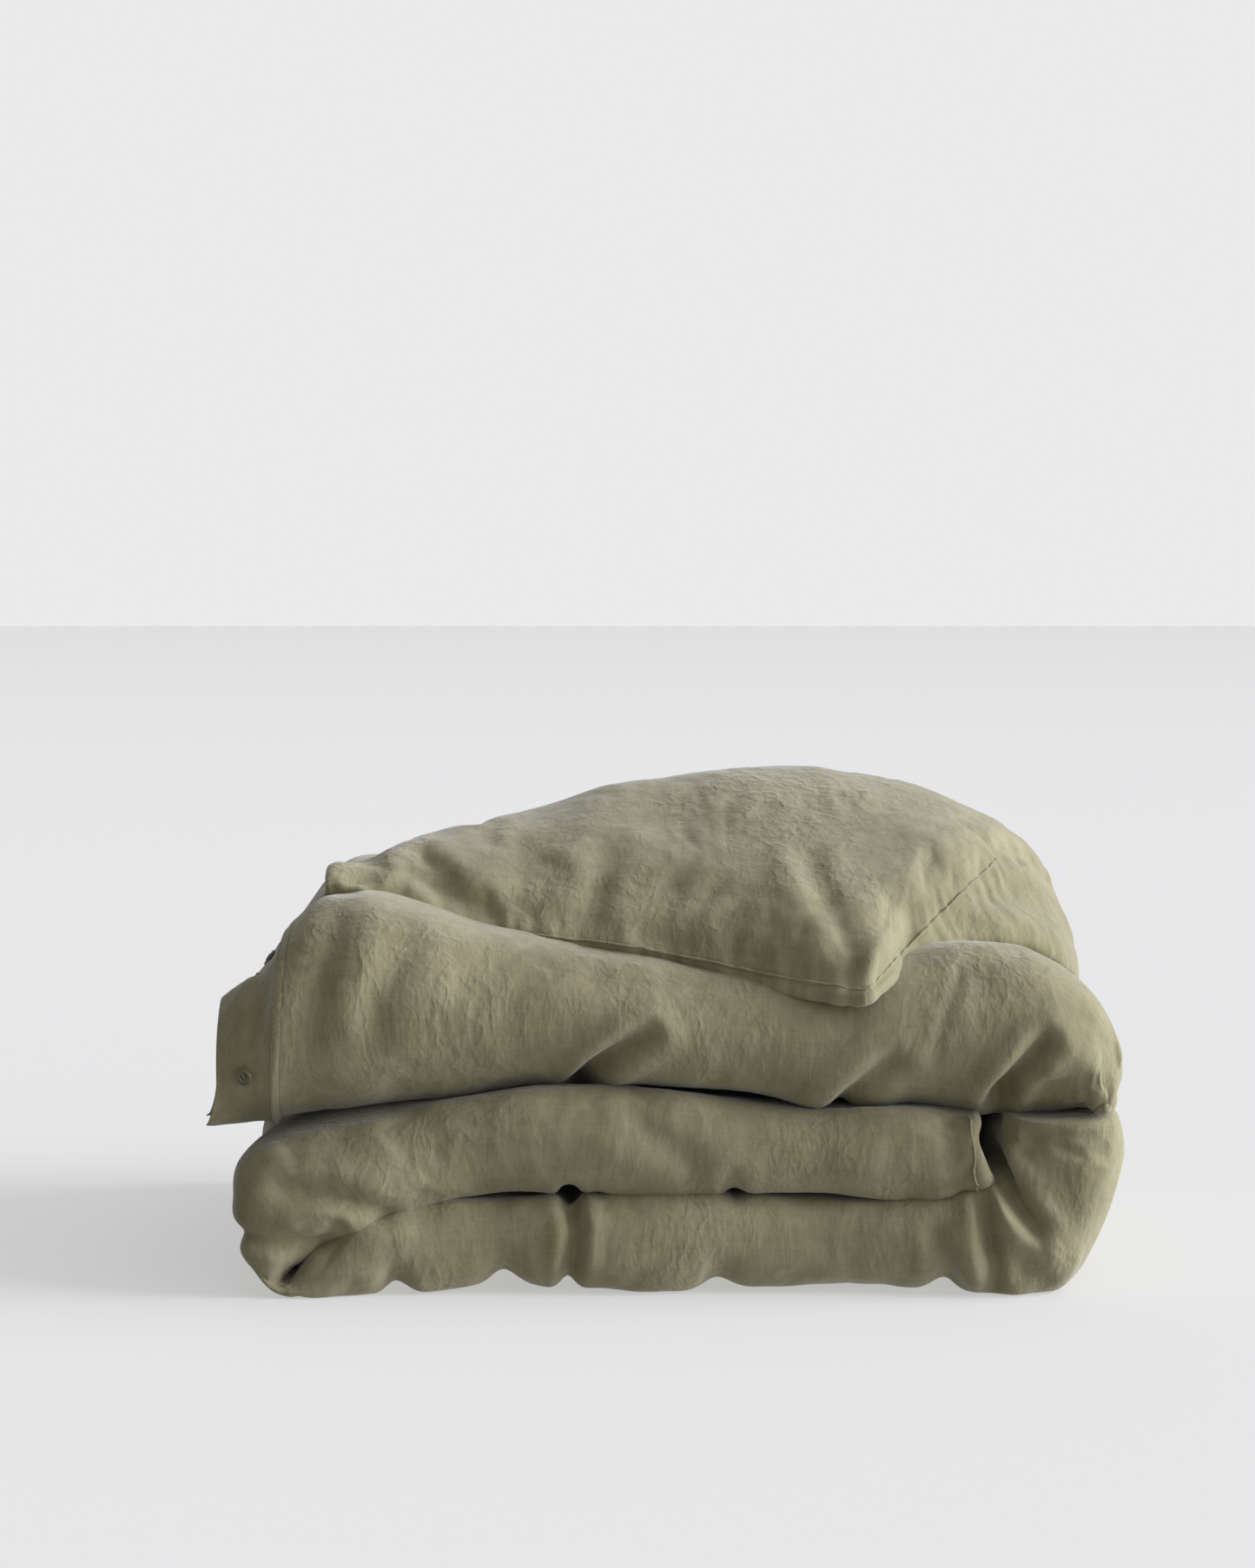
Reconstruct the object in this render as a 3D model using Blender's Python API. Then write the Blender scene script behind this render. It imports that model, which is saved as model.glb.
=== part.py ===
"""Folded duvet: a quilt insert buttoned into a linen cover, folded in four front to back and in three side to side.

The ribbon of folded plies runs, seen from the front: middle layer (free head end at its right), left fold,
base layer on the surface below, right fold, top layer (button end at its left). The top ply's corner is turned
over on the top layer. Metres, +Z up, X to the right, the front faces -Y, origin under the middle of the stack.
"""

import math

import bmesh
import bpy
from mathutils import Matrix, Vector

# Driving dimensions of the folded stack.
STACK_DEPTH = 0.52  # 2.1 m folded in four
LAYER_LENGTH = 0.50  # between the left and the right fold's creases
BASE_THICKNESS = 0.070
MIDDLE_THICKNESS = 0.066
TOP_THICKNESS = 0.098  # at the right crease
TOP_HEM_THICKNESS = 0.134  # at the button hem's stitch line
LEFT_FOLD_REACH = 0.087  # how far the left fold bulges past its crease
RIGHT_FOLD_REACH = 0.105
HEM_REACH = 0.105  # how far the button hem ends past the left crease
LAYER_GAP = 0.002  # between two plies that lie on each other
LIFT_GAP = 0.003  # under a piece that lifts off

# Cloth and filling. The linen is 0.4 mm thick; its solids are thicker so that they can be cut and checked.
CLOTH = 0.0016
TICKING = 0.0010
CLEAR = 0.0005

# Head end, button hem and buttons.
HEAD_END_SHORT = 0.004  # the middle layer ends this far short of the right crease
HEAD_ROOM = 0.026  # between the insert's end and the cover's end, where the ties are
FRENCH_SEAM = 0.006
FRENCH_SEAM_THICKNESS = 0.0024
FOLD_ROOM = 0.014  # between the right crease and the right fold's inside, for the head seam
HEM_START = 0.040  # the hem's stitch line, past the left crease
HEM_CLOTH = 0.0022  # folded linen
BAND_PLAY = 0.0016  # between the buttonhole band and the button band under it
HEM_END_THICKNESS = 0.046
HEM_END_NARROWING = 0.046  # how far the hem's end draws in from the front and the back
HEM_LEG = 0.40  # run of the hem's upper and lower legs along Y
HEM_DROP = 0.054  # how far the hem's end hangs below the layer's middle
BUTTON_DIAMETER = 0.0150
BUTTON_THICKNESS = 0.0030
BUTTON_RIM = 0.0016
BUTTON_DISH = 0.0009
BUTTON_HOLE = 0.0019
BUTTON_HOLE_SPACING = 0.0036
BUTTON_STAND_OFF = 0.0020  # shank length between the button and the band
THREAD_THICKNESS = 0.0011
SHANK_DIAMETER = 0.0030
BUTTONHOLE_LENGTH = 0.0175
BUTTONHOLE_WIDTH = 0.0042
BUTTON_SPACING = 0.150
BUTTON_INSET = 0.030  # from the hem's stitch line to the row of buttons
BUTTON_ROW_SHIFT = -0.012  # of the row's middle button, along the hem from its foremost line
BUTTONS_EACH_WAY = 2

# Turned-over corner: its fold line runs from the left end to the right end, seen from above.
FLAP_LEFT = Vector((-0.270, -0.100))
FLAP_RIGHT = Vector((0.310, 0.110))
FLAP_CORNER = Vector((0.160, -0.246))
FLAP_ROLL = 0.128  # thickest part of the fold's roll
FLAP_LEFT_ROLL = 0.046
FLAP_RIGHT_ROLL = 0.086
FLAP_EDGE_HEIGHT = 0.018
FLAP_THICKEST = 0.62  # share of the fold line at which the roll is thickest
FLAP_SEAM = 0.005
FLAP_SEAM_THICKNESS = 0.0020
FLAP_SEAM_START = 0.30  # share of the fold line at which the closed end seam starts

# Corner ties: each is a loop of tape on the cover through a loop on the insert.
TIE_RADIUS = 0.0085
TIE_TAPE = 0.0012
TIE_INSET = 0.075  # from the front and the back of the stack

# Fineness.
ARC_STEPS = 8
FOLD_STEPS = 8
FLAP_STEPS = 16
ROLL_STEPS = 14
EDGE_STEPS = 4
HEM_STEPS = 4
TURN_STEPS = 32
FLAT = 1e-6  # four points this close to a plane make one face

LINEN = (0.245, 0.225, 0.135)
SHELL_COTTON = (0.86, 0.85, 0.82)
DOWN = (0.93, 0.92, 0.90)
BUTTON_COLOUR = (0.115, 0.105, 0.062)
THREAD_COLOUR = (0.30, 0.28, 0.18)

# Places that follow from the dimensions.
STACK_WIDTH = HEM_REACH + LAYER_LENGTH + RIGHT_FOLD_REACH
LEFT_CREASE_X = -STACK_WIDTH / 2 + HEM_REACH
RIGHT_CREASE_X = LEFT_CREASE_X + LAYER_LENGTH
HALF_DEPTH = STACK_DEPTH / 2
BASE_TOP = BASE_THICKNESS
CREASE_Z = BASE_TOP + LAYER_GAP / 2
MIDDLE_BOTTOM = BASE_TOP + LAYER_GAP
MIDDLE_TOP = MIDDLE_BOTTOM + MIDDLE_THICKNESS
HEAD_END_X = RIGHT_CREASE_X - HEAD_END_SHORT
TOP_BOTTOM = MIDDLE_TOP + LIFT_GAP
FLAP_SEAT = TOP_BOTTOM + (TOP_THICKNESS + TOP_HEM_THICKNESS) / 2
TOP_NOSE = RIGHT_FOLD_REACH - 0.004  # length of the top layer's rounded right end
HEM_START_X = LEFT_CREASE_X - HEM_START
HEM_END_X = LEFT_CREASE_X - HEM_REACH
FLAP_LINE = FLAP_RIGHT - FLAP_LEFT
FLAP_ALONG = FLAP_LINE.normalized()
FLAP_ACROSS = Vector((FLAP_ALONG.y, -FLAP_ALONG.x))
FLAP_REACH = (FLAP_CORNER - FLAP_LEFT).dot(FLAP_ACROSS)
FLAP_CORNER_SHARE = (FLAP_CORNER - FLAP_LEFT).dot(FLAP_ALONG) / FLAP_LINE.length
FLAP_AXIS_Z = FLAP_SEAT + LIFT_GAP + FLAP_ROLL / 2
HINGE_X = RIGHT_CREASE_X + RIGHT_FOLD_REACH
HINGE_Z = MIDDLE_TOP

NOSE_SHARE = math.sin(math.pi / 2 * (FOLD_STEPS - 2) / FOLD_STEPS)

COVER_INSET = CLOTH + CLEAR
FILL_INSET = COVER_INSET + TICKING + CLEAR


def clear_scene():
    for old in list(bpy.data.objects):
        bpy.data.objects.remove(old, do_unlink=True)


def material(name, colour, roughness):
    made = bpy.data.materials.new(name)
    made.use_nodes = True
    shader = made.node_tree.nodes["Principled BSDF"]
    shader.inputs["Base Color"].default_value = (*colour, 1)
    shader.inputs["Roughness"].default_value = roughness
    return made


def add_object(name, mesh, surface):
    made = bpy.data.objects.new(name, mesh)
    if surface and not mesh.materials:
        mesh.materials.append(surface)
    bpy.context.scene.collection.objects.link(made)
    return made


def add_pivot(name, place, parent=None):
    """An empty on a joint's axis, placed by a world matrix."""
    made = bpy.data.objects.new(name, None)
    made.empty_display_size = 0.03
    bpy.context.scene.collection.objects.link(made)
    if parent:
        made.parent = parent
        made.matrix_parent_inverse = parent.matrix_world.inverted()
    made.matrix_world = place
    bpy.context.view_layer.update()
    return made


def hang(pieces, pivot):
    """Parents pieces modelled in the stack's frame to the empty that they move with."""
    for piece in pieces:
        piece.parent = pivot
        piece.matrix_parent_inverse = pivot.matrix_world.inverted()


def combined(first, second, operation):
    """The mesh of two bodies joined or cut by a Boolean; both objects are removed."""
    step = first.modifiers.new("combine", "BOOLEAN")
    step.operation = operation
    step.object = second
    step.use_self = True
    bpy.context.view_layer.update()
    graph = bpy.context.evaluated_depsgraph_get()
    mesh = bpy.data.meshes.new_from_object(first.evaluated_get(graph))
    for used in (first, second):
        bpy.data.objects.remove(used, do_unlink=True)
    smooth(mesh)
    return mesh


def smooth(mesh, sharp_angle=math.radians(40)):
    mesh.shade_smooth()
    mesh.set_sharp_from_angle(angle=sharp_angle)


def bridge(bm, first, second):
    """Faces between two rings with the same number of points.

    A quad that isn't flat is split along the same diagonal everywhere, so that nested skins stay parallel."""
    count = len(first)
    for i in range(count):
        j = (i + 1) % count
        quad = (first[i], first[j], second[j], second[i])
        across = (quad[1].co - quad[0].co).cross(quad[2].co - quad[0].co).normalized()
        if abs(across.dot(quad[3].co - quad[0].co)) < FLAT:
            bm.faces.new(quad)
        else:
            bm.faces.new(quad[:3])
            bm.faces.new((quad[0], quad[2], quad[3]))


def mesh_from(name, bm):
    bmesh.ops.recalc_face_normals(bm, faces=bm.faces)
    mesh = bpy.data.meshes.new(name)
    bm.to_mesh(mesh)
    bm.free()
    smooth(mesh)
    return mesh


def solid(name, rings, surface):
    """A closed body lofted through rings of points, with a flat cap at each end."""
    bm = bmesh.new()
    made = [[bm.verts.new(point) for point in ring] for ring in rings]
    for first, second in zip(made, made[1:]):
        bridge(bm, first, second)
    bm.faces.new(made[0])
    bm.faces.new(made[-1])
    return add_object(name, mesh_from(name, bm), surface)


def shell(name, outer, inner, surface, open_end):
    """A cloth sleeve: an outer and an inner skin, open at its start, and at its end too if open_end is set."""
    bm = bmesh.new()
    skins = [[[bm.verts.new(point) for point in ring] for ring in rings] for rings in (outer, inner)]
    for skin in skins:
        for first, second in zip(skin, skin[1:]):
            bridge(bm, first, second)
    bridge(bm, skins[0][0], skins[1][0])
    if open_end:
        bridge(bm, skins[0][-1], skins[1][-1])
    else:
        for skin in skins:
            bm.faces.new(skin[-1])
    return add_object(name, mesh_from(name, bm), surface)


def flat_oval(half_thickness, half_depth):
    """A ply's cross-section as (through the thickness, along Y): flat faces joined by half-round edges."""
    straight = half_depth - half_thickness
    points = []
    for side in (-1, 1):
        for step in range(ARC_STEPS + 1):
            angle = math.pi * step / ARC_STEPS
            through = side * half_thickness * math.cos(angle)
            along = side * (straight + half_thickness * math.sin(angle))
            points.append((through, along))
    return points


class Station:
    """One place on the folded ribbon: where its section is, which way it faces and how thick it is."""

    def __init__(self, x, z, lean, thickness, half_depth=HALF_DEPTH):
        self.centre = (x, z)
        self.direction = (math.cos(lean), math.sin(lean))
        self.thickness = thickness
        self.half_depth = half_depth

    def ring(self, inset):
        oval = flat_oval(self.thickness / 2 - inset, self.half_depth - inset)
        (x, z), (dx, dz) = self.centre, self.direction
        return [(x + dx * through, along, z + dz * through) for through, along in oval]


UPWARD = math.radians(90)


def flat_stations(start_x, end_x, bottom, thickness):
    middle = bottom + thickness / 2
    return [Station(x, middle, UPWARD, thickness) for x in (start_x, end_x)]


def base_rings(inset, _end):
    stations = flat_stations(LEFT_CREASE_X, RIGHT_CREASE_X, 0.0, BASE_THICKNESS)
    return [station.ring(inset) for station in stations]


def middle_rings(inset, end):
    """The middle layer, with its head end's edge rounded off."""
    end_x = HEAD_END_X - end
    rounding = 0.010
    stations = flat_stations(LEFT_CREASE_X, end_x - rounding, MIDDLE_BOTTOM, MIDDLE_THICKNESS)
    middle = MIDDLE_BOTTOM + MIDDLE_THICKNESS / 2
    stations.append(Station(end_x, middle, UPWARD, MIDDLE_THICKNESS - rounding, HALF_DEPTH - rounding / 2))
    return [station.ring(inset) for station in stations]


def left_fold_rings(inset, _end):
    """From the middle layer round the left crease to the base layer."""
    inner = LAYER_GAP / 2
    rings = []
    for step in range(FOLD_STEPS + 1):
        share = step / FOLD_STEPS
        lean = math.pi * (0.5 + share)
        bulge = math.sin(math.pi * share) ** 2
        flat = MIDDLE_THICKNESS if share < 0.5 else BASE_THICKNESS
        thickness = flat + (LEFT_FOLD_REACH - inner - flat) * bulge
        out = inner + thickness / 2
        x = LEFT_CREASE_X - CLEAR + math.cos(lean) * out
        rings.append(Station(x, CREASE_Z + math.sin(lean) * out, lean, thickness).ring(inset))
    return rings


def right_fold_rings(inset, _end):
    """From the base layer round the head end, up to where the top layer lifts off."""
    start = LAYER_GAP / 2
    rings = []
    steps = FOLD_STEPS // 2
    for step in range(steps + 1):
        share = step / steps
        lean = math.pi * (1.5 + 0.5 * share)
        ease = math.sin(math.pi / 2 * share) ** 2
        inner = start + (FOLD_ROOM - start) * ease
        outer = start + BASE_THICKNESS + (RIGHT_FOLD_REACH - CLEAR - start - BASE_THICKNESS) * ease
        out = (inner + outer) / 2
        x = RIGHT_CREASE_X + CLEAR + math.cos(lean) * out
        rings.append(Station(x, CREASE_Z + math.sin(lean) * out, lean, outer - inner).ring(inset))
    x = RIGHT_CREASE_X + (FOLD_ROOM + RIGHT_FOLD_REACH) / 2
    top = Station(x, MIDDLE_TOP, 0.0, RIGHT_FOLD_REACH - FOLD_ROOM - 2 * CLEAR)
    rings.append(top.ring(inset))
    return rings


def top_rings(inset, end):
    """The top layer from its open button end to its rounded right end."""
    stations = [Station(HEM_START_X, TOP_BOTTOM + TOP_HEM_THICKNESS / 2, UPWARD, TOP_HEM_THICKNESS),
                Station(RIGHT_CREASE_X, TOP_BOTTOM + TOP_THICKNESS / 2, UPWARD, TOP_THICKNESS)]
    for step in range(1, FOLD_STEPS - 1):
        angle = math.pi / 2 * step / FOLD_STEPS
        x = RIGHT_CREASE_X + (TOP_NOSE - end) * math.sin(angle) / NOSE_SHARE
        thickness = TOP_THICKNESS * math.cos(angle)
        stations.append(Station(x, TOP_BOTTOM + thickness / 2, UPWARD, thickness))
    return [station.ring(inset) for station in stations]


def flap_shape(share):
    """The flap at a share of its fold line: the roll's radius, how far its edge reaches and half its edge's height."""
    if share < FLAP_THICKEST:
        turn, end_roll = share / FLAP_THICKEST, FLAP_LEFT_ROLL
    else:
        turn, end_roll = (1 - share) / (1 - FLAP_THICKEST), FLAP_RIGHT_ROLL
    roll = end_roll + (FLAP_ROLL - end_roll) * math.sin(math.pi / 2 * turn)
    if share < FLAP_CORNER_SHARE:
        grown, least = share / FLAP_CORNER_SHARE, FLAP_LEFT_ROLL / 2 + FLAP_EDGE_HEIGHT
    else:
        grown, least = (1 - share) / (1 - FLAP_CORNER_SHARE), FLAP_RIGHT_ROLL / 2 + FLAP_EDGE_HEIGHT
    return roll / 2, least + (FLAP_REACH - least) * grown, FLAP_EDGE_HEIGHT / 2


def flap_point(share, across, height):
    """A point in the stack's frame from a share of the fold line, a distance from it and a height."""
    along = FLAP_LINE.length * share
    place = FLAP_LEFT + FLAP_ALONG * along + FLAP_ACROSS * across
    return (place.x, place.y, height)


def flap_ring(share, inset):
    """The flap's section: a round roll on the fold line and a thin edge, joined by their tangents."""
    roll, reach, edge = flap_shape(share)
    edge_across = reach - edge
    lean = math.atan2(edge - roll, edge_across)
    tangent = math.pi / 2 + 2 * lean
    points = []
    for step in range(ROLL_STEPS + 1):
        angle = -math.pi / 2 - (math.pi - 2 * lean) * step / ROLL_STEPS
        radius = roll - inset
        points.append(flap_point(share, radius * math.cos(angle), FLAP_AXIS_Z + radius * math.sin(angle)))
    for step in range(EDGE_STEPS + 1):
        angle = tangent - (tangent + math.pi / 2) * step / EDGE_STEPS
        radius = edge - inset
        height = FLAP_AXIS_Z - roll + edge + radius * math.sin(angle)
        points.append(flap_point(share, edge_across + radius * math.cos(angle), height))
    return points


def flap_shares():
    """Evenly spread shares of the fold line, with one on the flap's corner."""
    shares = [step / FLAP_STEPS for step in range(FLAP_STEPS + 1)]
    nearest = min(shares[1:-1], key=lambda share: abs(share - FLAP_CORNER_SHARE))
    return [FLAP_CORNER_SHARE if share == nearest else share for share in shares]


def flap_rings(inset, end):
    shares = [*flap_shares()[:-1], 1.0 - end / FLAP_LINE.length]
    return [flap_ring(share, inset) for share in shares]


def ply(name, rings_at, open_end, linen, ticking, down, insert_end=0.0):
    """A layer's or a fold's cover, with the insert's shell and its filling inside it.

    rings_at gives the rings at an inset from the outside, with a closed end drawn in by a second length."""
    shell_inset = COVER_INSET + TICKING
    return [
        shell(f"cover_{name}", rings_at(0.0, 0.0), rings_at(CLOTH, CLOTH), linen, open_end),
        shell(f"insert_shell_{name}", rings_at(COVER_INSET, insert_end + COVER_INSET),
              rings_at(shell_inset, insert_end + shell_inset), ticking, open_end),
        solid(f"down_fill_{name}", rings_at(FILL_INSET, insert_end + FILL_INSET), down),
    ]


def hem_size(x):
    """Half the hem's thickness, half its depth and its middle's height at a place along X."""
    share = (HEM_START_X - x) / (HEM_START_X - HEM_END_X)
    half_thickness = (TOP_HEM_THICKNESS + (HEM_END_THICKNESS - TOP_HEM_THICKNESS) * share) / 2
    half_depth = HALF_DEPTH - HEM_END_NARROWING * share
    return half_thickness, half_depth, TOP_BOTTOM + TOP_HEM_THICKNESS / 2 - HEM_DROP * share


def hem_slant(angle):
    """How much longer an inset gets, measured across the hem, because the hem tapers."""
    half_thickness, half_depth, middle = hem_size(HEM_START_X)
    end_thickness, end_depth, end_middle = hem_size(HEM_END_X)
    drawn_in = half_depth - half_thickness - end_depth + end_thickness
    run = (end_thickness - half_thickness + drawn_in * math.cos(angle)
           + (end_middle - middle) * math.sin(angle))
    return math.hypot(1.0, run / (HEM_START_X - HEM_END_X))


def hem_path(x, inset):
    """The hem's open C from the back of its upper leg, round the front, to the back of its lower leg."""
    half_thickness, half_depth, middle = hem_size(x)
    front = -half_depth + half_thickness
    top, bottom = math.pi / 2, 1.5 * math.pi
    points = [(x, front + HEM_LEG, middle + half_thickness - inset * hem_slant(top))]
    for step in range(2 * ARC_STEPS + 1):
        angle = top + (bottom - top) * step / (2 * ARC_STEPS)
        radius = half_thickness - inset * hem_slant(angle)
        points.append((x, front + radius * math.cos(angle), middle + radius * math.sin(angle)))
    points.append((x, front + HEM_LEG, middle - half_thickness + inset * hem_slant(bottom)))
    return points


def hem_band(name, inset, linen):
    """A strip of folded linen that follows the hem's C."""
    start_x = HEM_START_X - CLEAR
    rings = []
    for step in range(HEM_STEPS + 1):
        x = start_x + (HEM_END_X - start_x) * step / HEM_STEPS
        rings.append(hem_path(x, inset) + hem_path(x, inset + HEM_CLOTH)[::-1])
    return solid(name, rings, linen)


def hem_point(x, run):
    """The point on the hem's outside at a run along it from its foremost line, upwards positive."""
    half_thickness, half_depth, middle = hem_size(x)
    quarter = half_thickness * math.pi / 2
    front = -half_depth + half_thickness
    if abs(run) < quarter:
        angle = run / half_thickness
        return Vector((x, front - half_thickness * math.cos(angle), middle + half_thickness * math.sin(angle)))
    side = math.copysign(1.0, run)
    return Vector((x, front + abs(run) - quarter, middle + side * half_thickness))


def button_place(number):
    """World matrix on the hem's outside: Z out of the cloth, X across the hem."""
    x = HEM_START_X - BUTTON_INSET
    run = BUTTON_ROW_SHIFT + number * BUTTON_SPACING
    step = 0.001
    point = hem_point(x, run)
    across = (hem_point(x - step, run) - point).normalized()
    along = (hem_point(x, run + step) - point).normalized()
    out = along.cross(across).normalized()
    side = out.cross(across).normalized()
    place = Matrix((across, side, out)).transposed().to_4x4()
    place.translation = point
    return place


def turned(profile):
    """A closed body turned round Z from (radius, height) points that start and end on the axis."""
    bm = bmesh.new()
    bottom = bm.verts.new((0, 0, profile[0][1]))
    top = bm.verts.new((0, 0, profile[-1][1]))
    rings = []
    for radius, height in profile[1:-1]:
        angles = [2 * math.pi * step / TURN_STEPS for step in range(TURN_STEPS)]
        rings.append([bm.verts.new((radius * math.cos(a), radius * math.sin(a), height)) for a in angles])
    for first, second in zip(rings, rings[1:]):
        bridge(bm, first, second)
    for i in range(TURN_STEPS):
        j = (i + 1) % TURN_STEPS
        bm.faces.new((bottom, rings[0][i], rings[0][j]))
        bm.faces.new((top, rings[-1][i], rings[-1][j]))
    return bm


def box_into(bm, size, place):
    made = bmesh.ops.create_cube(bm, size=1.0)
    scale = Matrix.Diagonal((*size, 1.0))
    bmesh.ops.transform(bm, matrix=place @ scale, verts=made["verts"])


def rod_into(bm, radius, start, end):
    """A round rod along Z, added to a mesh."""
    made = bmesh.ops.create_cone(bm, cap_ends=True, segments=10, radius1=radius, radius2=radius,
                                 depth=end.z - start.z)
    middle = (start + end) / 2
    bmesh.ops.translate(bm, vec=middle, verts=made["verts"])


def hole_places():
    half = BUTTON_HOLE_SPACING / 2
    return [(x, y) for x in (-half, half) for y in (-half, half)]


def button_mesh(surface):
    """A four-hole button with a raised rim, standing off the cloth."""
    radius = BUTTON_DIAMETER / 2
    bottom, top = BUTTON_STAND_OFF, BUTTON_STAND_OFF + BUTTON_THICKNESS
    edge = BUTTON_THICKNESS * 0.22
    profile = [(0, bottom), (radius - 2 * edge, bottom), (radius - edge / 2, bottom + edge),
               (radius, bottom + 2 * edge), (radius - edge / 2, top - edge / 2), (radius - edge, top),
               (radius - BUTTON_RIM, top), (radius - 1.6 * BUTTON_RIM, top - BUTTON_DISH), (0, top - BUTTON_DISH)]
    blank = add_object("button_blank", mesh_from("button", turned(profile)), surface)
    bm = bmesh.new()
    for x, y in hole_places():
        rod_into(bm, BUTTON_HOLE / 2, Vector((x, y, bottom - CLEAR)), Vector((x, y, top)))
    drill = add_object("button_drill", mesh_from("drill", bm), None)
    return combined(blank, drill, "DIFFERENCE")


def thread_mesh(surface):
    """The shank through the buttonhole, four strands up the button's holes and two stitches over its dish."""
    foot = -HEM_CLOTH
    pad = BUTTON_HOLE_SPACING
    low = BUTTON_STAND_OFF - 2 * CLEAR
    flange = low + CLEAR
    shank = SHANK_DIAMETER / 2
    profile = [(0, foot), (shank, foot), (shank, low - CLEAR), (pad, low), (pad, flange), (0, flange)]
    core = add_object("thread_core", mesh_from("thread", turned(profile)), surface)
    bm = bmesh.new()
    dish = BUTTON_STAND_OFF + BUTTON_THICKNESS - BUTTON_DISH + CLEAR
    strand = THREAD_THICKNESS / 2
    for x, y in hole_places():
        rod_into(bm, strand, Vector((x, y, flange - CLEAR / 2)), Vector((x, y, dish + strand)))
    for x in {x for x, _y in hole_places()}:
        size = (THREAD_THICKNESS, BUTTON_HOLE_SPACING + THREAD_THICKNESS, THREAD_THICKNESS)
        box_into(bm, size, Matrix.Translation((x, 0, dish + strand)))
    strands = add_object("thread_strands", mesh_from("strands", bm), None)
    return combined(core, strands, "UNION")


def buttonhole_cutter(places):
    bm = bmesh.new()
    for place in places:
        box_into(bm, (BUTTONHOLE_LENGTH, BUTTONHOLE_WIDTH, 4 * HEM_CLOTH), place)
    return add_object("buttonhole_cutter", mesh_from("cutter", bm), None)


def flap_seam(name, start, end, linen):
    """A closed seam's narrow flange along one of the flap's edges."""
    rings = []
    for share in [start, *(share for share in flap_shares() if start < share < end), end]:
        roll, reach, edge = flap_shape(share)
        middle = FLAP_AXIS_Z - roll + edge
        inner, outer, half = reach + CLEAR, reach + CLEAR + FLAP_SEAM, FLAP_SEAM_THICKNESS / 2
        rings.append([flap_point(share, across, middle + height) for across, height in
                      ((inner, -half), (outer, -half), (outer, half), (inner, half))])
    return solid(name, rings, linen)


def head_seam(linen):
    """The french seam that closes the cover's head end."""
    half, middle = FRENCH_SEAM_THICKNESS / 2, MIDDLE_BOTTOM + MIDDLE_THICKNESS / 2
    reach = HALF_DEPTH - MIDDLE_THICKNESS / 2
    rings = []
    for x in (HEAD_END_X + CLEAR, HEAD_END_X + CLEAR + FRENCH_SEAM):
        rings.append([(x, y, middle + z) for y, z in
                      ((-reach, -half), (reach, -half), (reach, half), (-reach, half))])
    return solid("head_seam", rings, linen)


def corner_ties(tape, ticking):
    """Two pairs of linked loops between the cover's head end and the insert's."""
    middle = MIDDLE_BOTTOM + MIDDLE_THICKNESS / 2
    insert_end = HEAD_END_X - HEAD_ROOM - COVER_INSET
    tie_reach = TIE_RADIUS + TIE_TAPE + CLEAR
    for side, word in ((-1, "front"), (1, "back")):
        y = side * (HALF_DEPTH - TIE_INSET)
        tape_x = HEAD_END_X - CLOTH - tie_reach
        loop_x = insert_end + tie_reach
        for name, x, turn, surface in ((f"cover_tie_{word}", tape_x, 0.0, tape),
                                       (f"insert_loop_{word}", loop_x, math.pi / 2, ticking)):
            bpy.ops.mesh.primitive_torus_add(major_radius=TIE_RADIUS, minor_radius=TIE_TAPE,
                                             major_segments=24, minor_segments=8,
                                             location=(x, y, middle), rotation=(turn, 0, 0))
            made = bpy.context.active_object
            made.name = name
            made.data.materials.append(surface)
            smooth(made.data)


def main():
    clear_scene()
    linen = material("washed_linen", LINEN, 0.92)
    ticking = material("insert_cotton", SHELL_COTTON, 0.85)
    down = material("down_filling", DOWN, 0.95)
    shine = material("button_resin", BUTTON_COLOUR, 0.45)
    cord = material("sewing_thread", THREAD_COLOUR, 0.8)

    ply("base_layer", base_rings, True, linen, ticking, down)
    ply("left_fold", left_fold_rings, True, linen, ticking, down)
    ply("right_fold", right_fold_rings, True, linen, ticking, down)
    ply("middle_layer", middle_rings, False, linen, ticking, down, HEAD_ROOM)
    head_seam(linen)
    corner_ties(linen, ticking)

    top_pivot = add_pivot("top_layer_pivot", Matrix.Translation((HINGE_X, 0, HINGE_Z)))
    top_pieces = ply("top_layer", top_rings, False, linen, ticking, down)
    places = [button_place(number) for number in range(-BUTTONS_EACH_WAY, BUTTONS_EACH_WAY + 1)]
    outer_band = hem_band("uncut_band", 0.0, linen)
    cut = combined(outer_band, buttonhole_cutter(places), "DIFFERENCE")
    top_pieces += [add_object("buttonhole_band", cut, linen),
                   hem_band("button_band", HEM_CLOTH + BAND_PLAY, linen)]
    hang(top_pieces, top_pivot)

    middle_of_roll = FLAP_LEFT + FLAP_LINE / 2
    turn = Matrix.Rotation(math.atan2(FLAP_ALONG.y, FLAP_ALONG.x), 4, "Z")
    place = Matrix.Translation((*middle_of_roll, FLAP_AXIS_Z)) @ turn
    flap_pivot = add_pivot("corner_flap_pivot", place, top_pivot)
    mitre = CLEAR / FLAP_LINE.length
    flap_pieces = ply("corner_flap", flap_rings, False, linen, ticking, down)
    flap_pieces += [flap_seam("flap_end_seam", FLAP_SEAM_START, FLAP_CORNER_SHARE - mitre, linen),
                    flap_seam("flap_side_seam", FLAP_CORNER_SHARE + mitre, 1.0, linen)]
    hang(flap_pieces, flap_pivot)

    button, thread = button_mesh(shine), thread_mesh(cord)
    for number, spot in enumerate(places, 1):
        pivot = add_pivot(f"button_{number}_pivot", spot, top_pivot)
        for piece in (add_object(f"button_{number}", button, shine), add_object(f"thread_{number}", thread, cord)):
            piece.parent = pivot


main()
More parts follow.
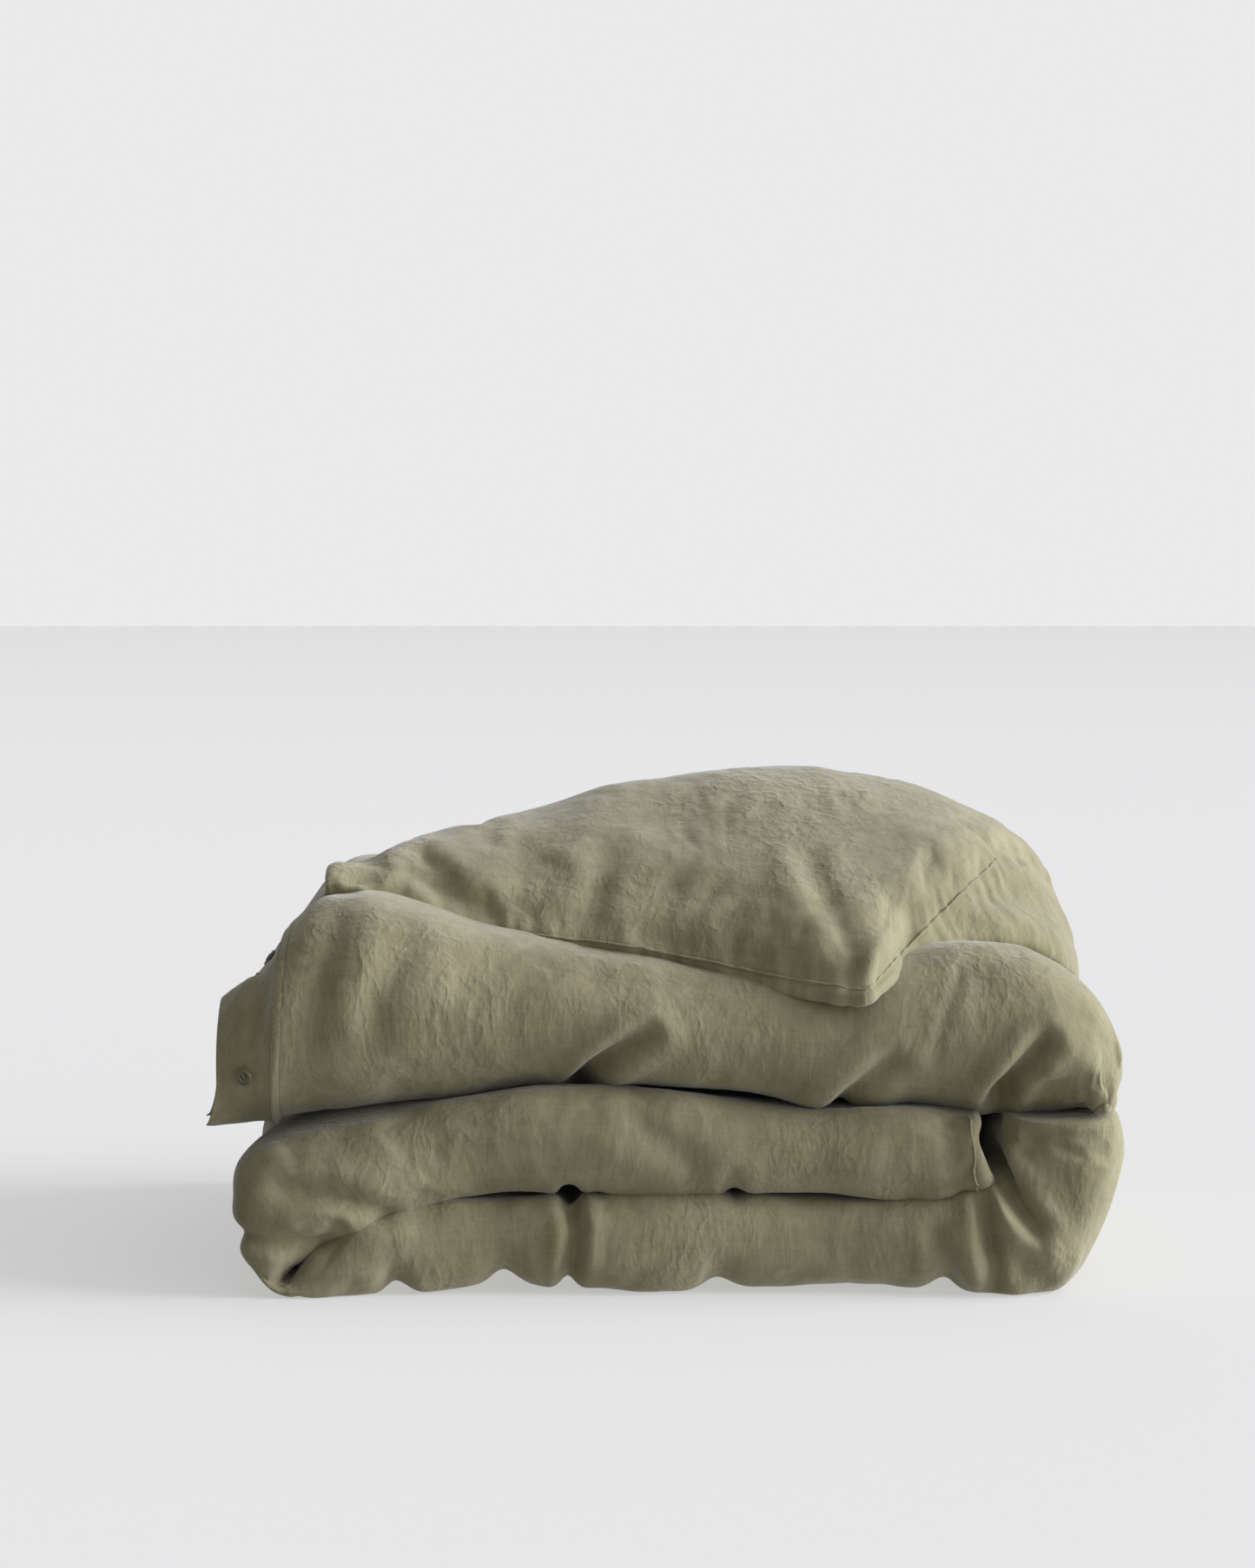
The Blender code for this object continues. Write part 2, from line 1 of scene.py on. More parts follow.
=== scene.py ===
"""Looks of a duvet folded into a stack: padded linen plies, a button hem and a turned-over corner.

Metres in the part's own frame: +X right, the front faces -Y, +Z up, the floor at 0."""
import math

import bpy
import numpy as np
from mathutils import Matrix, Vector


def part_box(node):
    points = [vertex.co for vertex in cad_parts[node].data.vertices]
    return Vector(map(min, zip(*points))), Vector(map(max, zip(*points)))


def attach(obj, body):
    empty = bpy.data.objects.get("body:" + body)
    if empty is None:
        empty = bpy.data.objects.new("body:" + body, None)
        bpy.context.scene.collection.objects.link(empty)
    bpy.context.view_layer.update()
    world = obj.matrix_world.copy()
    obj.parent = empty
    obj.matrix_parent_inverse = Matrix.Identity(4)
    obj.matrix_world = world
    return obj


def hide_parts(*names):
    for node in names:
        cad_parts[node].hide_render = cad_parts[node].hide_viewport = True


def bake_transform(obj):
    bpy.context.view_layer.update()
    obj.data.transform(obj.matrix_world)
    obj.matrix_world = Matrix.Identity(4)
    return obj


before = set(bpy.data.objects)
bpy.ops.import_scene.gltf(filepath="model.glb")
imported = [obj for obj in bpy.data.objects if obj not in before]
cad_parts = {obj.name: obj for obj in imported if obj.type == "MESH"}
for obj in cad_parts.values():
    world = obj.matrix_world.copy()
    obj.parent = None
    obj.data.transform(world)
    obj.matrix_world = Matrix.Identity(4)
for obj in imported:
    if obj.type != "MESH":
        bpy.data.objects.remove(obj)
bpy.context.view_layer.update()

BASE_LOW, BASE_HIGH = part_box("cover_base_layer")
FRONT_Y, BACK_Y = BASE_LOW[1], BASE_HIGH[1]
HALF_DEPTH = (BACK_Y - FRONT_Y) / 2
HEM_CLOTH = 0.0009
BUTTONS = range(1, 6)
BUTTON_RUN = 0.150  # along the hem, from one button to the next
BUTTON_SHIFT = -0.012  # of the middle button, along the hem from its foremost line

# The hem at its stitch line and at its free edge: X, half thickness, half depth and the middle's height.
HEM_START = (-0.290, 0.067, 0.251, 0.208)
HEM_END = (-0.355, 0.023, 0.230, 0.154)
HEM_SAG = 0.008  # of its lower side at the front, between two buttons
HEM_CROWN = 0.020  # swelling of its upper corner at the front
HEM_DIP = 0.006  # hollow of its upper side, between the stitch line and the buttons
HEM_PROUD = HEM_CLOTH + 0.0004  # how far the band lies above the ply that it is sewn to
HEM_INSET = 0.0038  # of the button band, under the buttonhole band
BUTTONHOLE_GAPE, BUTTON_GAPE = 0.010, -0.006  # of each band, halfway between two buttons

# Outlines of the folded plies seen from the front, as stations of (inner x, inner z, outer x, outer z).
# The front outline is how the plies look at their front edge; behind it they follow the plain outline.
LOWER_FRONT = (
    (0.254, 0.087, 0.248, 0.141), (0.206, 0.075, 0.205, 0.144), (0.097, 0.079, 0.120, 0.141),
    (0.000, 0.079, 0.030, 0.156), (-0.072, 0.079, -0.065, 0.161), (-0.130, 0.076, -0.150, 0.151),
    (-0.188, 0.070, -0.225, 0.133), (-0.225, 0.055, -0.285, 0.121), (-0.255, 0.039, -0.325, 0.108),
    (-0.275, 0.024, -0.338, 0.088), (-0.288, 0.012, -0.333, 0.052), (-0.292, 0.008, -0.320, 0.020),
    (-0.290, 0.008, -0.296, 0.002), (-0.282, 0.013, -0.262, 0.000), (-0.250, 0.038, -0.225, 0.000),
    (-0.188, 0.067, -0.170, 0.000), (-0.070, 0.077, -0.070, 0.000), (0.100, 0.077, 0.100, 0.000),
    (0.200, 0.073, 0.200, 0.000), (0.250, 0.080, 0.258, 0.000), (0.262, 0.084, 0.306, 0.003),
    (0.265, 0.090, 0.334, 0.022), (0.267, 0.100, 0.351, 0.054), (0.268, 0.114, 0.361, 0.095),
    (0.268, 0.127, 0.362, 0.120), (0.272, 0.138, 0.357, 0.137),
)
LOWER_PLAIN = (
    (0.248, 0.074, 0.246, 0.140), (0.206, 0.074, 0.205, 0.140), (0.097, 0.074, 0.120, 0.140),
    (0.000, 0.074, 0.030, 0.140), (-0.072, 0.074, -0.065, 0.140), (-0.130, 0.074, -0.150, 0.140),
    (-0.188, 0.074, -0.215, 0.139), (-0.225, 0.073, -0.265, 0.134), (-0.242, 0.073, -0.305, 0.118),
    (-0.250, 0.072, -0.330, 0.092), (-0.252, 0.071, -0.334, 0.060), (-0.250, 0.070, -0.315, 0.022),
    (-0.245, 0.070, -0.288, 0.004), (-0.230, 0.070, -0.255, 0.000), (-0.200, 0.070, -0.215, 0.000),
    (-0.150, 0.071, -0.160, 0.000), (-0.070, 0.071, -0.070, 0.000), (0.100, 0.071, 0.100, 0.000),
    (0.200, 0.071, 0.200, 0.000), (0.252, 0.071, 0.262, 0.000), (0.258, 0.073, 0.306, 0.004),
    (0.261, 0.080, 0.333, 0.022), (0.263, 0.090, 0.350, 0.052), (0.264, 0.105, 0.356, 0.095),
    (0.265, 0.120, 0.358, 0.120), (0.267, 0.136, 0.357, 0.140),
)
TOP_FRONT = (
    (0.340, 0.146, 0.353, 0.147), (0.336, 0.146, 0.358, 0.174), (0.322, 0.146, 0.350, 0.210),
    (0.303, 0.141, 0.326, 0.244), (0.268, 0.141, 0.288, 0.270), (0.233, 0.131, 0.235, 0.276),
    (0.185, 0.143, 0.185, 0.264), (0.138, 0.141, 0.135, 0.246), (0.070, 0.157, 0.070, 0.243),
    (0.000, 0.159, 0.000, 0.250), (-0.065, 0.164, -0.065, 0.258), (-0.130, 0.157, -0.130, 0.272),
    (-0.187, 0.145, -0.190, 0.290), (-0.241, 0.130, -0.232, 0.302), (-0.280, 0.124, -0.266, 0.302),
    (-0.302, 0.124, -0.294, 0.278),
)
TOP_PLAIN = (
    (0.342, 0.143, 0.359, 0.146), (0.336, 0.143, 0.358, 0.175), (0.322, 0.143, 0.348, 0.206),
    (0.303, 0.143, 0.320, 0.236), (0.268, 0.143, 0.284, 0.250), (0.233, 0.143, 0.235, 0.254),
    (0.185, 0.143, 0.185, 0.254), (0.138, 0.143, 0.135, 0.254), (0.070, 0.143, 0.070, 0.256),
    (0.000, 0.143, 0.000, 0.262), (-0.065, 0.143, -0.065, 0.268), (-0.130, 0.143, -0.130, 0.278),
    (-0.187, 0.143, -0.190, 0.292), (-0.241, 0.142, -0.232, 0.303), (-0.275, 0.142, -0.264, 0.302),
    (-0.292, 0.142, -0.288, 0.280),
)

# The turned-over corner as lengthwise lines from its left end to its right end, in order round its section.
FLAP_SEAM = (
    (-0.256, -0.146, 0.312), (-0.212, -0.152, 0.301), (-0.115, -0.172, 0.277), (-0.039, -0.187, 0.269),
    (0.030, -0.207, 0.259), (0.097, -0.234, 0.248), (0.145, -0.257, 0.241), (0.161, -0.265, 0.241),
    (0.173, -0.246, 0.250), (0.195, -0.206, 0.266), (0.225, -0.165, 0.290), (0.256, -0.112, 0.310),
    (0.289, -0.040, 0.324), (0.320, 0.010, 0.304), (0.334, 0.030, 0.275),
)
FLAP_SHOULDER = (
    (-0.256, -0.136, 0.322), (-0.206, -0.124, 0.323), (-0.113, -0.138, 0.318), (-0.037, -0.154, 0.309),
    (0.030, -0.174, 0.301), (0.095, -0.200, 0.292), (0.142, -0.218, 0.284), (0.160, -0.224, 0.282),
    (0.174, -0.206, 0.293), (0.192, -0.170, 0.311), (0.216, -0.123, 0.331), (0.247, -0.070, 0.343),
    (0.284, -0.005, 0.338), (0.322, 0.030, 0.309), (0.338, 0.040, 0.272),
)
FLAP_CREST = (
    (-0.256, -0.112, 0.326), (-0.200, -0.050, 0.332), (-0.110, -0.010, 0.351), (-0.035, 0.010, 0.371),
    (0.030, 0.020, 0.381), (0.085, 0.025, 0.386), (0.120, 0.030, 0.387), (0.135, 0.030, 0.387),
    (0.150, 0.035, 0.386), (0.175, 0.040, 0.383), (0.203, 0.045, 0.376), (0.238, 0.050, 0.361),
    (0.282, 0.055, 0.336), (0.324, 0.060, 0.298), (0.341, 0.060, 0.262),
)
FLAP_BACK = (
    (-0.256, -0.086, 0.318), (-0.195, 0.005, 0.312), (-0.105, 0.070, 0.315), (-0.032, 0.110, 0.320),
    (0.030, 0.130, 0.322), (0.085, 0.140, 0.322), (0.120, 0.145, 0.322), (0.135, 0.146, 0.322),
    (0.150, 0.147, 0.321), (0.172, 0.148, 0.320), (0.203, 0.148, 0.315), (0.240, 0.142, 0.305),
    (0.286, 0.128, 0.284), (0.326, 0.100, 0.256), (0.343, 0.080, 0.240),
)
FLAP_UNDER_BACK = (
    (-0.256, -0.088, 0.303), (-0.195, -0.005, 0.290), (-0.105, 0.055, 0.277), (-0.032, 0.090, 0.270),
    (0.030, 0.108, 0.266), (0.085, 0.118, 0.264), (0.120, 0.122, 0.263), (0.135, 0.123, 0.263),
    (0.150, 0.124, 0.262), (0.172, 0.125, 0.262), (0.200, 0.125, 0.258), (0.238, 0.118, 0.250),
    (0.286, 0.100, 0.238), (0.328, 0.070, 0.222), (0.343, 0.050, 0.218),
)
FLAP_UNDER = (
    (-0.256, -0.116, 0.298), (-0.202, -0.080, 0.290), (-0.112, -0.050, 0.276), (-0.036, -0.045, 0.266),
    (0.030, -0.045, 0.262), (0.092, -0.050, 0.258), (0.132, -0.060, 0.256), (0.146, -0.062, 0.255),
    (0.160, -0.060, 0.255), (0.184, -0.050, 0.254), (0.215, -0.035, 0.252), (0.252, -0.020, 0.244),
    (0.298, -0.010, 0.232), (0.336, -0.010, 0.218), (0.345, 0.000, 0.214),
)
FLAP_LIP = (
    (-0.256, -0.140, 0.301), (-0.210, -0.142, 0.289), (-0.114, -0.164, 0.264), (-0.038, -0.178, 0.255),
    (0.030, -0.198, 0.244), (0.098, -0.226, 0.234), (0.144, -0.248, 0.229), (0.161, -0.256, 0.229),
    (0.180, -0.234, 0.238), (0.206, -0.196, 0.252), (0.244, -0.165, 0.263), (0.286, -0.140, 0.262),
    (0.326, -0.110, 0.246), (0.343, -0.070, 0.234), (0.345, -0.030, 0.232),
)

# Folds of the front face: a line of (x, z) points, its width, its depth and the swelling's height beside it.
LOWER_CREASES = (
    (((-0.069, 0.079), (-0.063, 0.052), (-0.066, 0.028), (-0.070, 0.006)), 0.0055, 0.017, 0.003),
    (((-0.246, 0.056), (-0.262, 0.046), (-0.296, 0.045), (-0.334, 0.050)), 0.0060, 0.007, 0.004),
    (((-0.212, 0.066), (-0.255, 0.083), (-0.292, 0.086)), 0.0080, 0.006, 0.004),
    (((-0.246, 0.060), (-0.262, 0.061), (-0.275, 0.058)), 0.0035, 0.004, 0.002),
    (((0.256, 0.125), (0.266, 0.098), (0.279, 0.074), (0.294, 0.054)), 0.0065, 0.014, 0.005),
    (((0.262, 0.042), (0.280, 0.028), (0.298, 0.013)), 0.0100, 0.006, 0.004),
    (((0.253, 0.076), (0.258, 0.050), (0.262, 0.010)), 0.0060, 0.013, 0.004),
    (((0.214, 0.050), (0.222, 0.030), (0.231, 0.004)), 0.0060, 0.006, 0.002),
    (((-0.203, 0.018), (-0.203, -0.010)), 0.0110, 0.013, 0.0),
    (((-0.120, 0.020), (-0.120, -0.010)), 0.0120, 0.013, 0.0),
    (((0.047, 0.016), (0.047, -0.010)), 0.0140, 0.011, 0.0),
    (((0.222, 0.016), (0.222, -0.010)), 0.0110, 0.012, 0.0),
    (((-0.020, 0.135), (0.010, 0.120), (0.030, 0.100)), 0.0100, 0.003, 0.002),
    (((0.060, 0.076), (0.058, 0.095)), 0.0060, 0.005, 0.002),
)
FLAP_CREASES = (
    (((-0.196, 0.322), (-0.165, 0.306), (-0.128, 0.288)), 0.0080, 0.006, 0.003),
    (((-0.040, 0.330), (-0.052, 0.300), (-0.060, 0.272)), 0.0120, 0.004, 0.003),
    (((0.262, 0.300), (0.292, 0.296), (0.330, 0.276)), 0.0110, 0.007, 0.004),
    (((0.120, 0.330), (0.140, 0.290), (0.158, 0.250)), 0.0090, 0.003, 0.003),
)
TOP_CREASES = (
    (((-0.064, 0.160), (-0.048, 0.178), (-0.030, 0.192), (-0.008, 0.205)), 0.0070, 0.014, 0.007),
    (((0.138, 0.136), (0.152, 0.156), (0.180, 0.182)), 0.0090, 0.010, 0.005),
    (((0.264, 0.155), (0.279, 0.178), (0.299, 0.200)), 0.0070, 0.015, 0.008),
    (((0.266, 0.163), (0.310, 0.166), (0.345, 0.172)), 0.0080, 0.006, 0.004),
    (((-0.250, 0.290), (-0.262, 0.250), (-0.268, 0.205)), 0.0110, 0.004, 0.002),
    (((-0.195, 0.270), (-0.215, 0.235), (-0.220, 0.200)), 0.0120, 0.003, 0.002),
    (((0.235, 0.255), (0.222, 0.220), (0.212, 0.185)), 0.0040, 0.0016, 0.001),
)

# Where the corner's seam starts and ends.
SEAM_START_X, SEAM_END_RINGS = -0.125, 30

# Grids: rings along a piece, steps round a ply's front or back edge and across its flat sides.
LOWER_RINGS, LOWER_END, LOWER_FLAT = 260, 24, 20
TOP_RINGS, TOP_END, TOP_FLAT = 150, 34, 30
FLAP_RINGS, FLAP_AROUND = 150, 96
ROUNDING_STEPS = 4
ROUNDING_SHARES = (0.6, 0.3, 0.02)  # of the last rings that close an end
ROUNDING_RINGS = ROUNDING_STEPS + len(ROUNDING_SHARES)
HEM_LEG_STEPS, HEM_STEPS = 27, 16  # along each of the hem's legs, and from its stitch line to its free edge
SIMULATED_FRAMES = 20


def spline(points, count, weights=None):
    """A smooth curve through points, with count samples spread evenly over its length or over weights."""
    points = np.asarray(points, float)
    padded = np.vstack((2 * points[0] - points[1], points, 2 * points[-1] - points[-2]))
    fine = []
    for i in range(1, len(padded) - 2):
        a, b, c, d = padded[i - 1:i + 3]
        for t in np.linspace(0, 1, 16, endpoint=False):  # Catmull-Rom
            fine.append(0.5 * (2 * b + (c - a) * t + (2 * a - 5 * b + 4 * c - d) * t ** 2
                               + (3 * b - a - 3 * c + d) * t ** 3))
    fine.append(points[-1])
    fine = np.array(fine)
    if weights is None:
        weights = np.concatenate(([0], np.cumsum(np.linalg.norm(np.diff(fine, axis=0), axis=1))))
    wanted = np.linspace(0, weights[-1], count)
    return np.column_stack([np.interp(wanted, weights, column) for column in fine.T]), weights


def ease(value):
    """0 below 0, 1 above 1, and a smooth step between them."""
    value = np.clip(value, 0, 1)
    return value * value * (3 - 2 * value)


class Waves:
    """A smooth random field: plane waves of about one length in random directions."""

    def __init__(self, seed, length, stretch=(1, 1, 1), count=26):
        rng = np.random.default_rng(seed)
        direction = rng.normal(size=(count, 3))
        direction /= np.linalg.norm(direction, axis=1)[:, None]
        size = 2 * math.pi / (length * rng.uniform(0.7, 1.5, count))
        self.wave = direction * size[:, None] / np.asarray(stretch, float)
        self.phase = rng.uniform(0, 2 * math.pi, count)
        self.gain = math.sqrt(2 / count)

    def __call__(self, points):
        shape = points.shape[:-1]
        flat = points.reshape(-1, 3)
        total = np.zeros(len(flat))
        for wave, phase in zip(self.wave, self.phase):
            total += np.sin(flat @ wave + phase)
        return (total * self.gain).reshape(shape)


def grid_normals(points, closed=True):
    """Outward unit normals of a grid of rings."""
    along = np.gradient(points, axis=0)
    if closed:
        around = np.roll(points, -1, axis=1) - np.roll(points, 1, axis=1)
    else:
        around = np.gradient(points, axis=1)
    normal = np.cross(along, around)
    length = np.linalg.norm(normal, axis=2, keepdims=True)
    return normal / np.maximum(length, 1e-9)


def line_distance(points, line):
    """Distance from points to a polyline in the XZ plane, and how far along it the nearest place is."""
    line = np.asarray(line, float)
    flat = points.reshape(-1, 3)[:, (0, 2)]
    best = np.full(len(flat), 1e9)
    where = np.zeros(len(flat))
    for number, (a, b) in enumerate(zip(line[:-1], line[1:])):
        step = b - a
        t = np.clip(((flat - a) @ step) / (step @ step), 0, 1)
        distance = np.linalg.norm(flat - a - t[:, None] * step, axis=1)
        nearer = distance < best
        best[nearer] = distance[nearer]
        where[nearer] = (number + t[nearer]) / (len(line) - 1)
    return best.reshape(points.shape[:-1]), where.reshape(points.shape[:-1])


def fold_in(points, normals, creases, front_reach=0.10):
    """Presses creases into the front face, with the cloth swelling beside them."""
    front = ease((FRONT_Y + front_reach - points[..., 1]) / (0.6 * front_reach))
    for line, width, depth, swell in creases:
        distance, along = line_distance(points, line)
        fade = 0.35 + 0.65 * ease(np.minimum(along + 0.25, 1.25 - along) / 0.5)
        groove = -depth * np.exp(-(distance / width) ** 2)
        ridge = swell * np.exp(-((distance - 2.2 * width) / (1.5 * width)) ** 2)
        points = points + normals * ((groove + ridge) * fade * front)[..., None]
    return points


def ring_shape(front_steps, flat_steps, fullness):
    """A padded ply's section as (through, straight, bulge): its place through the thickness and along Y."""
    rows = []
    for side in (-1, 1):
        for step in range(front_steps + 1):
            angle = math.pi * step / front_steps
            through = math.copysign(abs(math.cos(angle)) ** (2 / fullness), math.cos(angle))
            rows.append((-side * through, side, side * abs(math.sin(angle)) ** (2 / fullness)))
        for step in range(1, flat_steps):
            rows.append((side, side * (1 - 2 * step / flat_steps), 0.0))
    return np.array(rows)


def folded_plies(front, plain, stations, roundness, fullness, front_steps, flat_steps):
    """A padded ribbon as rings: its outlines blend from the front one to the plain one going back."""
    front = np.asarray(front, float)
    plain = np.asarray(plain, float)
    _ends, weights = spline(front[:, 2:], 2)
    front, _weights = spline(front, stations, weights)
    plain, _weights = spline(plain, stations, weights)
    shape = ring_shape(front_steps, flat_steps, fullness)
    reach = np.linalg.norm(front[:, 2:] - front[:, :2], axis=1) / 2
    bulge = np.minimum(roundness, 1.15 * reach)[:, None]
    y = (HALF_DEPTH - bulge) * shape[None, :, 1] + bulge * shape[None, :, 2]
    blend = ease((-y - 0.10) / (HALF_DEPTH - 0.12))[..., None]
    outline = plain[:, None, :] * (1 - blend) + front[:, None, :] * blend
    middle = (outline[..., 2:] + outline[..., :2]) / 2
    half = (outline[..., 2:] - outline[..., :2]) / 2
    xz = middle + half * shape[None, :, 0, None]
    return np.dstack((xz[..., 0], y, xz[..., 1]))


def rounded_end(points, outward, reach=0.010):
    """Adds rings that close a padded end: they draw in while they move outward."""
    last = points[-1]
    centre = last.mean(axis=0)
    rings = []
    for step in range(1, ROUNDING_STEPS + 1):
        angle = math.pi / 2 * step / ROUNDING_STEPS
        share = math.cos(angle) * 0.18 + 0.82
        rings.append(centre + (last - centre) * [share, 1 - (1 - share) * 0.3, share]
                     + np.asarray(outward) * reach * math.sin(angle))
    for share in ROUNDING_SHARES:
        rings.append(centre + (rings[ROUNDING_STEPS - 1] - centre) * share)
    return np.concatenate((points, np.array(rings)))


def grid_object(name, points, closed=True):
    """A mesh of quads over a grid of rings, with UVs in metres."""
    rows, columns = points.shape[:2]
    index = np.arange(rows * columns).reshape(rows, columns)
    right = np.roll(index, -1, axis=1) if closed else index[:, 1:]
    left = index if closed else index[:, :-1]
    faces = np.stack((left[:-1], left[1:], right[1:], right[:-1]), axis=-1).reshape(-1, 4)
    mesh = bpy.data.meshes.new(name)
    mesh.from_pydata(points.reshape(-1, 3).tolist(), [], faces.tolist())
    along = np.concatenate(([0], np.cumsum(np.linalg.norm(np.diff(points, axis=0), axis=2).max(axis=1))))
    gaps = np.linalg.norm(np.roll(points, -1, axis=1) - points, axis=2).max(axis=0)
    around = np.concatenate(([0], np.cumsum(gaps)))
    row, column = np.indices((rows - 1, left.shape[1]))
    corners = [np.stack((along[row + down], around[column + across]), axis=-1)
               for down, across in ((0, 0), (1, 0), (1, 1), (0, 1))]
    mesh.uv_layers.new(name="weave").data.foreach_set("uv", np.stack(corners, axis=2).ravel())
    made = bpy.data.objects.new(name, mesh)
    bpy.context.scene.collection.objects.link(made)
    mesh.validate()
    mesh.shade_smooth()
    return made


def crumple(points, seed, length):
    """Fine sharp creases in all directions, as washed linen keeps them."""
    bend = Waves(seed, 3 * length)(points)[..., None] * 0.4 * length
    coarse = 1 - np.abs(Waves(seed + 1, length, count=9)(points + bend))
    fine = 1 - np.abs(Waves(seed + 2, 0.5 * length, count=9)(points + bend))
    return 0.65 * coarse + 0.35 * fine


def ruffle(points, normals, seed, puff, crinkle, crease_length=0.042):
    """Soft uneven filling, with patches of crumpled cloth over it."""
    soft = Waves(seed, 0.18)(points) * puff
    broad = Waves(seed + 1, 0.075)(points) * 0.6 * crinkle
    patches = 0.25 + 0.75 * ease(0.5 + 0.6 * Waves(seed + 5, 0.11)(points))
    sharp = crumple(points, seed + 2, crease_length) * patches * crinkle
    return points + normals * (soft + broad + sharp)[..., None]


def pad_out(points, name, held, pressed, pressure, spare, reach):
    """Lets the filling push a slightly larger cloth outwards in a short simulation.

    held marks the points that stay, pressed those that a neighbour keeps from moving outwards, and reach is
    about the furthest that any point moves."""
    trial = grid_object(name, points)
    group = trial.vertex_groups.new(name="held")
    group.add(np.flatnonzero(held.ravel()).tolist(), 1.0, "REPLACE")
    cloth = trial.modifiers.new("cloth", "CLOTH")
    settings = cloth.settings
    settings.quality = 5
    settings.mass = 0.25
    settings.tension_stiffness = settings.compression_stiffness = 14
    settings.shear_stiffness = 7
    settings.bending_stiffness = 0.35
    settings.use_pressure = True
    settings.uniform_pressure_force = pressure
    settings.shrink_min = -spare
    settings.vertex_group_mass = "held"
    settings.effector_weights.gravity = 0
    cloth.collision_settings.use_collision = False
    cloth.collision_settings.use_self_collision = False
    scene = bpy.context.scene
    for frame_number in range(1, SIMULATED_FRAMES + 1):
        scene.frame_set(frame_number)
    settled = trial.evaluated_get(bpy.context.evaluated_depsgraph_get())
    flat = np.empty(points.size, np.float32)
    settled.data.vertices.foreach_get("co", flat)
    bpy.data.objects.remove(trial)
    scene.frame_set(1)
    moved = flat.reshape(points.shape).astype(float) - points
    normals = grid_normals(points)
    outward = np.einsum("ijk,ijk->ij", moved, normals)
    moved -= normals * (np.maximum(outward, 0) * pressed)[..., None]
    length = np.maximum(np.linalg.norm(moved, axis=2, keepdims=True), 1e-9)
    return points + moved * (reach * np.tanh(length / reach) / length)


def end_rings(points, count):
    """Marks the first and the last rings of a grid."""
    marked = np.zeros(points.shape[:2], bool)
    marked[:count] = marked[-count:] = True
    return marked


def lower_plies():
    """The base, the left fold, the middle ply and the right fold as one padded ribbon."""
    points = folded_plies(LOWER_FRONT, LOWER_PLAIN, LOWER_RINGS, 0.045, 2.5, LOWER_END, LOWER_FLAT)
    points = rounded_end(points[::-1], (0.2, 0, 0))[::-1]
    points = rounded_end(points, (-0.3, 0, 0.6), reach=0.004)
    normals = grid_normals(points)
    inside = ease((np.abs(points[..., 1]) - 0.245) / -0.02)
    under = ease((0.02 - points[..., 2]) / 0.01)
    pressed = np.maximum(ease((np.abs(normals[..., 2]) - 0.55) / 0.3) * inside, under)
    points = ruffle(points, normals, 3, 0.0024, 0.0008)
    held = end_rings(points, ROUNDING_RINGS + 1)
    points = pad_out(points, "lower_trial", held, pressed, pressure=1.5, spare=0.030, reach=0.005)
    points = fold_in(points, grid_normals(points), LOWER_CREASES)
    points[..., 2] = np.maximum(points[..., 2], 0.0004)
    return points


def top_ply():
    """The top ply, from its right crease to the button hem, where its last ring is the cover's mouth."""
    points = folded_plies(TOP_FRONT, TOP_PLAIN, TOP_RINGS, 0.110, 2.05, TOP_END, TOP_FLAT)
    points = rounded_end(points[::-1], (0.3, 0, 0), reach=0.004)[::-1]
    points[..., 1] *= 1 - 0.034 * ease((-0.215 - points[..., 0]) / 0.085)
    normals = grid_normals(points)
    pressed = ease((-normals[..., 2] - 0.5) / 0.3)
    flat = points
    points = ruffle(points, normals, 11, 0.0018, 0.0009)
    held = end_rings(points, 2)
    held[:ROUNDING_RINGS + 1] = True
    points = pad_out(points, "top_trial", held, pressed, pressure=1.5, spare=0.030, reach=0.005)
    calm = ease(np.arange(len(points))[::-1] / 26)
    points = flat + (points - flat) * calm[:, None, None]
    return fold_in(points, grid_normals(points), TOP_CREASES, 0.16)


def insert_end(mouth):
    """The insert's own end, a little inside the cover's open mouth."""
    centre = mouth.mean(axis=0)
    shares = ((0.985, 0.94, 0.004), (0.97, 0.86, 0.002), (0.95, 0.76, -0.002), (0.91, 0.60, -0.005),
              (0.84, 0.38, -0.007), (0.70, 0.18, -0.008), (0.40, 0.08, -0.008), (0.05, 0.01, -0.008))
    return np.array([centre + (mouth - centre) * [1, along, upright] + [out, 0, 0]
                     for along, upright, out in shares])


